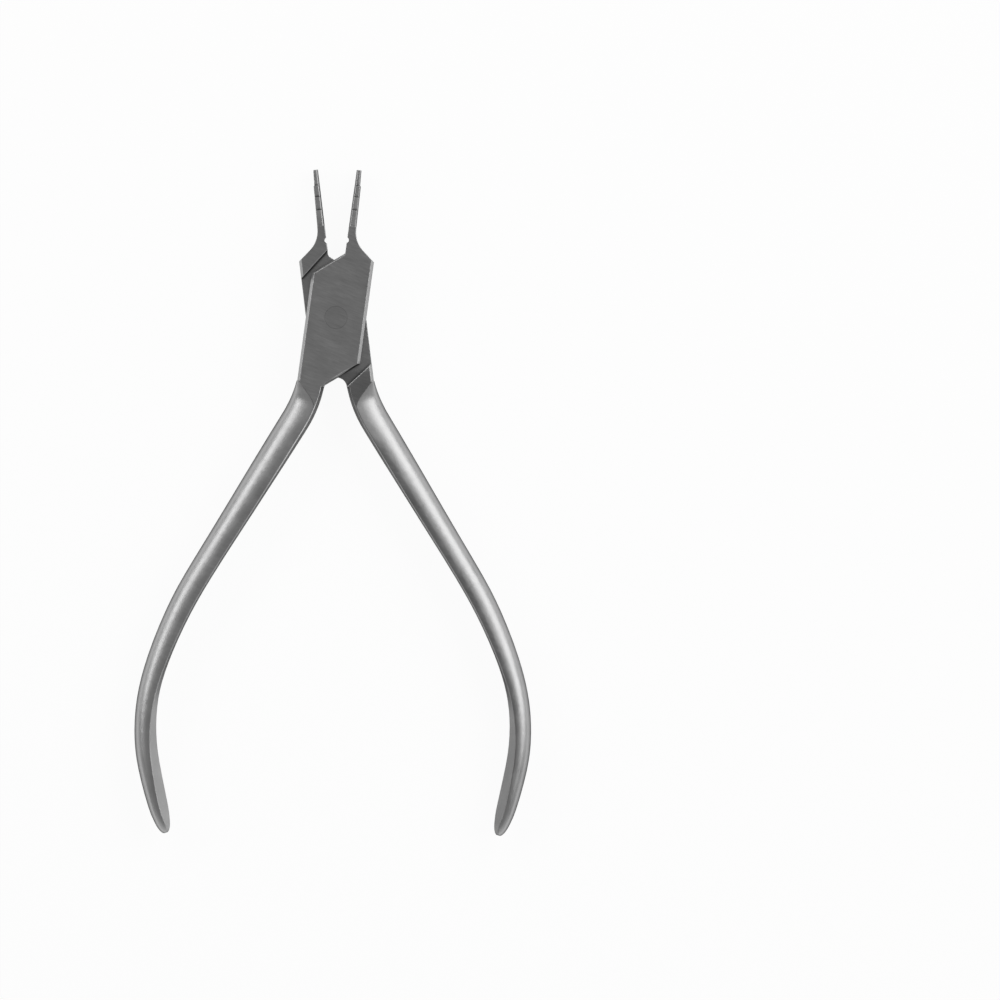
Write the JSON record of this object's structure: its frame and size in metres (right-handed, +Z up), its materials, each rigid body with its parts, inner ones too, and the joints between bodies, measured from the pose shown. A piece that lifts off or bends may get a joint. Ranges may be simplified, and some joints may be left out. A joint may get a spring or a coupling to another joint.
{
  "type": "orthodontic loop-forming pliers",
  "caption": "Slim stainless pliers with a box joint, stepped beaks for forming wire loops, and bowed handles.",
  "frame": {"origin": "on the pivot axis, at the underside of the joint block", "axes": "+Y towards the beak tips, +Z up along the pivot axis, +X to the beak of the box half"},
  "size_m": [0.0778, 0.1303, 0.0077],
  "materials": {
    "box_steel": "fine ground flats with satin handles",
    "tongue_steel": "fine ground flats with satin handles",
    "pin_steel": "ground flush"
  },
  "bodies": {
    "box_body": {"box_half": "box_steel", "pivot_pin": "pin_steel"},
    "tongue_body": {"tongue_half": "tongue_steel"}
  },
  "joints": [
    {"name": "jaw_hinge", "type": "hinge", "parent": "box_body", "child": "tongue_body", "pos_m": [0, 0, 0.00385], "axis": [0, 0, 1], "range_deg": [-14.6, 45.4]}
  ]
}
